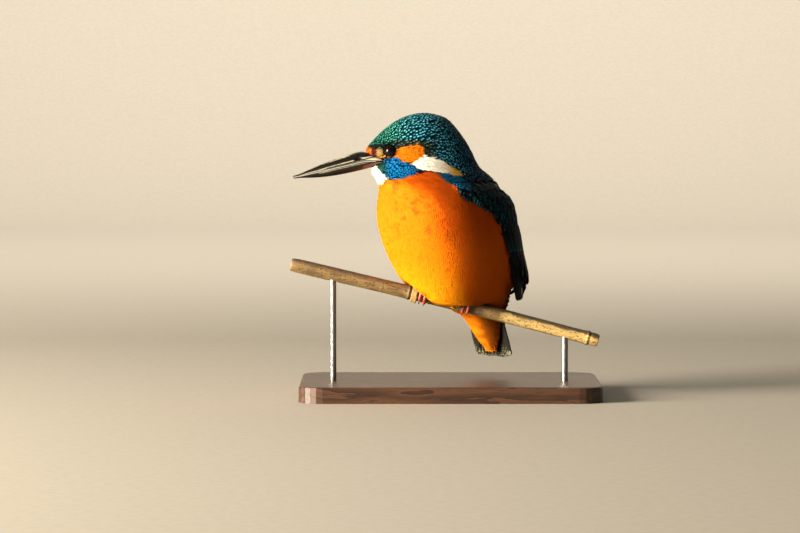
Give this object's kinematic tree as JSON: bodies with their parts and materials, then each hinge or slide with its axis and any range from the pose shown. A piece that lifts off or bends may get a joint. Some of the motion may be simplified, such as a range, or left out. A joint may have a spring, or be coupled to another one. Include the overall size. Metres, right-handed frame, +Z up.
{
  "type": "kingfisher on a reed perch",
  "caption": "Life-size common kingfisher, blue above and orange below, gripping a sloping cut reed that slim rods hold over a flat wooden base.",
  "frame": {"origin": "centre of the display base's underside", "axes": "+Z up; +X along the reed towards its low end; -Y is the side that the breast faces, with the bill pointing towards -X"},
  "size_m": [0.1557, 0.092, 0.142],
  "materials": {
    "orange_plumage": "soft matt feathers",
    "blue_green_plumage": "sleek feathers with a blue sheen",
    "bill_horn": "smooth black horn",
    "eye": "wet, near black",
    "foot_skin": "coral red, finely scaled",
    "claw_horn": "dark horn",
    "dry_reed": "weathered, speckled",
    "oiled_walnut": "oiled",
    "brushed_steel": "brushed"
  },
  "bodies": {
    "root": {"belly": "orange_plumage", "bill_lower": "bill_horn", "bill_upper": "bill_horn", "breast": "orange_plumage", "claw_left_hind": "claw_horn", "claw_left_inner": "claw_horn", "claw_left_middle": "claw_horn", "claw_left_outer": "claw_horn", "claw_right_hind": "claw_horn", "claw_right_inner": "claw_horn", "claw_right_middle": "claw_horn", "claw_right_outer": "claw_horn", "eye_left": "eye", "eye_right": "eye", "head": "blue_green_plumage", "mantle": "blue_green_plumage", "neck": "blue_green_plumage", "perch_reed": "dry_reed", "perch_sheath": "dry_reed", "primaries_left": "blue_green_plumage", "primaries_right": "blue_green_plumage", "rump": "blue_green_plumage", "shank_left": "foot_skin", "shank_right": "foot_skin", "stand_base": "oiled_walnut", "stand_rod_high": "brushed_steel", "stand_rod_low": "brushed_steel", "tail": "blue_green_plumage", "toe_left_hind": "foot_skin", "toe_left_inner": "foot_skin", "toe_left_middle": "foot_skin", "toe_left_outer": "foot_skin", "toe_right_hind": "foot_skin", "toe_right_inner": "foot_skin", "toe_right_middle": "foot_skin", "toe_right_outer": "foot_skin", "undertail_coverts": "orange_plumage", "uppertail_coverts": "blue_green_plumage", "wing_left": "blue_green_plumage", "wing_right": "blue_green_plumage"}
  },
  "joints": []
}
